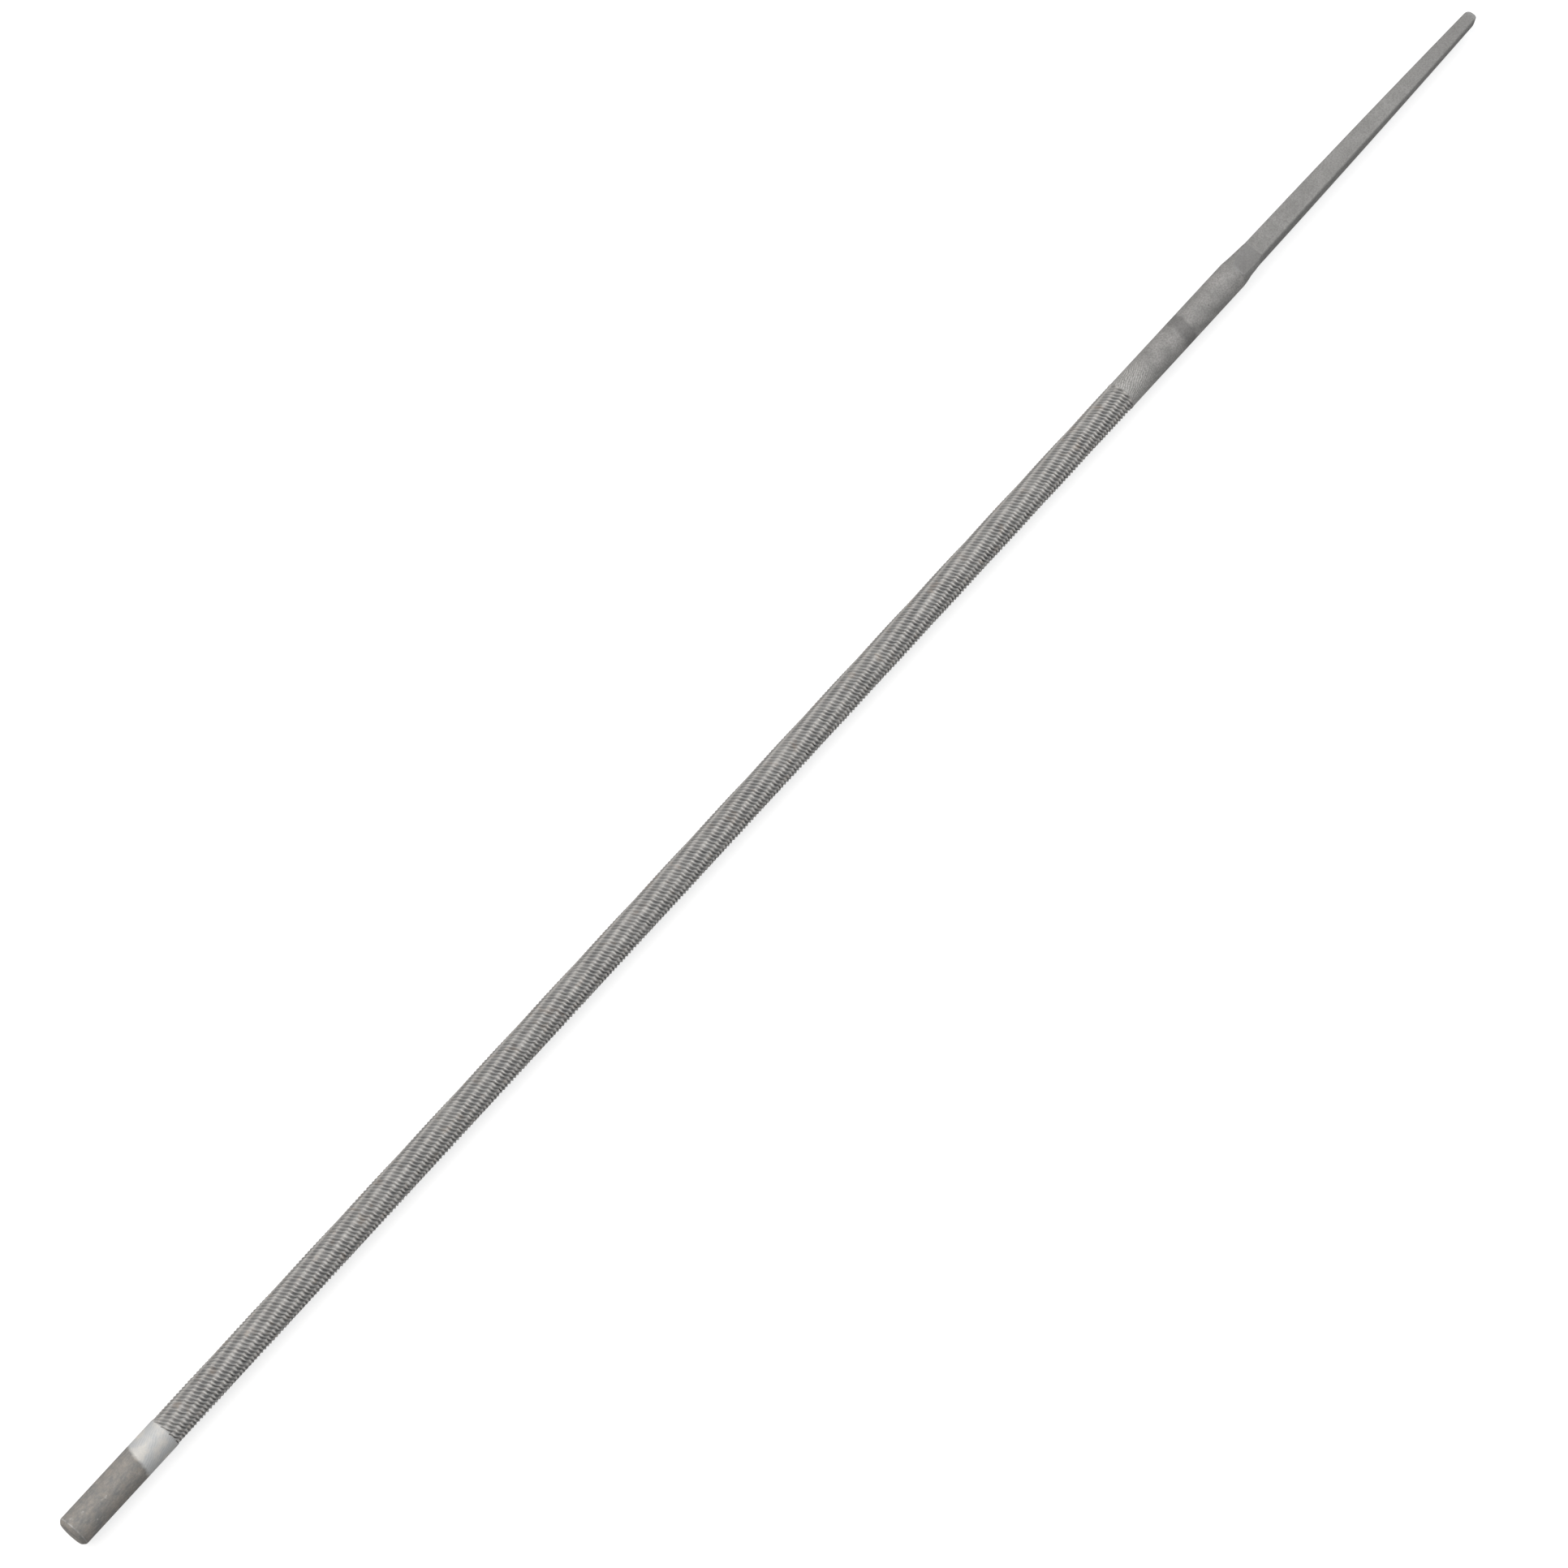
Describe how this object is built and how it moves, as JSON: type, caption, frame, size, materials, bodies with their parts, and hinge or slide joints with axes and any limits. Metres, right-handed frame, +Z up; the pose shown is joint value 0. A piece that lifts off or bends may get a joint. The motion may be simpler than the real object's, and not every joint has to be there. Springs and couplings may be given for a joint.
{
  "type": "chainsaw file",
  "caption": "Round file with spiral-cut teeth and a tapered square tang, for sharpening the cutters of a saw chain.",
  "frame": {"origin": "midway along the file, on the surface that it lies on, below its axis", "axes": "+X along the file from the toe to the tang, +Z up, square to the tang's upper side"},
  "size_m": [0.2578, 0.004, 0.004],
  "materials": {
    "file_steel": "hardened carbon steel, ground bare, with cut teeth"
  },
  "bodies": {
    "root": {"file": "file_steel"}
  },
  "joints": []
}
